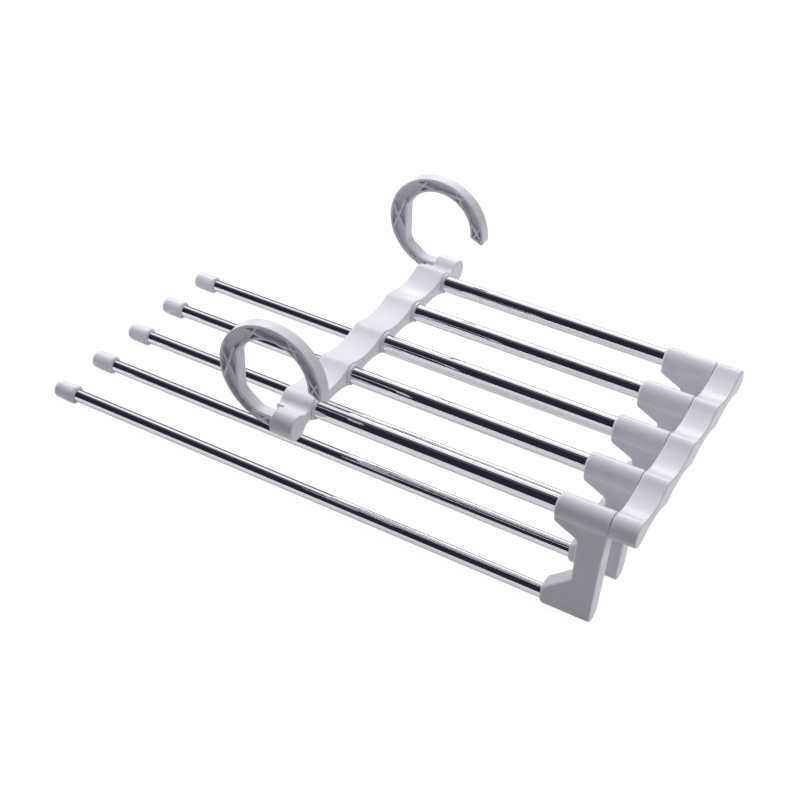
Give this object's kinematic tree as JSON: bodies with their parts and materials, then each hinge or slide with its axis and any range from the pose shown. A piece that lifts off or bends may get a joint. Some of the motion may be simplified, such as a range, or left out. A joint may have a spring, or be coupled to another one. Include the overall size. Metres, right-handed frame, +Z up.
{
  "type": "multi-tier trouser hanger",
  "caption": "Multi-tier trouser hanger: open-ended steel bars on swinging plastic brackets below a railed frame, with swivelling ribbed hooks for a closet rod.",
  "frame": {"origin": "on the axis of the closet rod that the hooks go over, midway between the hooks", "axes": "+X along the bars, from their capped ends towards the brackets; +Y along the rails, which is along the closet rod; +Z up"},
  "size_m": [0.3906, 0.1994, 0.1334],
  "materials": {
    "white_plastic": "satin gloss",
    "stainless_tube": "polished"
  },
  "bodies": {
    "frame": {"mid_rail": "white_plastic", "outer_rail": "white_plastic", "upper_tube_1": "stainless_tube", "upper_tube_2": "stainless_tube", "upper_tube_3": "stainless_tube", "upper_tube_4": "stainless_tube", "upper_tube_5": "stainless_tube"},
    "tier_1": {"bracket_1": "white_plastic", "lower_tube_1": "stainless_tube", "end_cap_1": "white_plastic"},
    "tier_2": {"bracket_2": "white_plastic", "lower_tube_2": "stainless_tube", "end_cap_2": "white_plastic"},
    "tier_3": {"bracket_3": "white_plastic", "lower_tube_3": "stainless_tube", "end_cap_3": "white_plastic"},
    "tier_4": {"bracket_4": "white_plastic", "lower_tube_4": "stainless_tube", "end_cap_4": "white_plastic"},
    "tier_5": {"bracket_5": "white_plastic", "lower_tube_5": "stainless_tube", "end_cap_5": "white_plastic"},
    "hook_back": {"hook_back": "white_plastic"},
    "hook_front": {"hook_front": "white_plastic"}
  },
  "joints": [
    {"name": "tier_1_swing", "type": "hinge", "parent": "frame", "child": "tier_1", "pos_m": [0.1767, 0.074, -0.0305], "axis": [1, 0, 0], "range_deg": [-68, 68]},
    {"name": "tier_2_swing", "type": "hinge", "parent": "frame", "child": "tier_2", "pos_m": [0.1767, 0.037, -0.0305], "axis": [1, 0, 0], "range_deg": [-68, 68]},
    {"name": "tier_3_swing", "type": "hinge", "parent": "frame", "child": "tier_3", "pos_m": [0.1767, 0, -0.0305], "axis": [1, 0, 0], "range_deg": [-68, 68]},
    {"name": "tier_4_swing", "type": "hinge", "parent": "frame", "child": "tier_4", "pos_m": [0.1767, -0.037, -0.0305], "axis": [1, 0, 0], "range_deg": [-68, 68]},
    {"name": "tier_5_swing", "type": "hinge", "parent": "frame", "child": "tier_5", "pos_m": [0.1767, -0.074, -0.0305], "axis": [1, 0, 0], "range_deg": [-68, 68]},
    {"name": "hook_back_swivel", "type": "hinge", "parent": "frame", "child": "hook_back", "pos_m": [0.005, 0.092, -0.0323], "axis": [1, 0, 0], "range_deg": [-90, 60]},
    {"name": "hook_front_swivel", "type": "hinge", "parent": "frame", "child": "hook_front", "pos_m": [0.005, -0.092, -0.0323], "axis": [1, 0, 0], "range_deg": [-60, 90]}
  ],
  "couplings": [
    {"joint": "tier_2_swing", "follows": "tier_1_swing", "ratio": 1},
    {"joint": "tier_3_swing", "follows": "tier_1_swing", "ratio": 1},
    {"joint": "tier_4_swing", "follows": "tier_1_swing", "ratio": 1},
    {"joint": "tier_5_swing", "follows": "tier_1_swing", "ratio": 1}
  ]
}
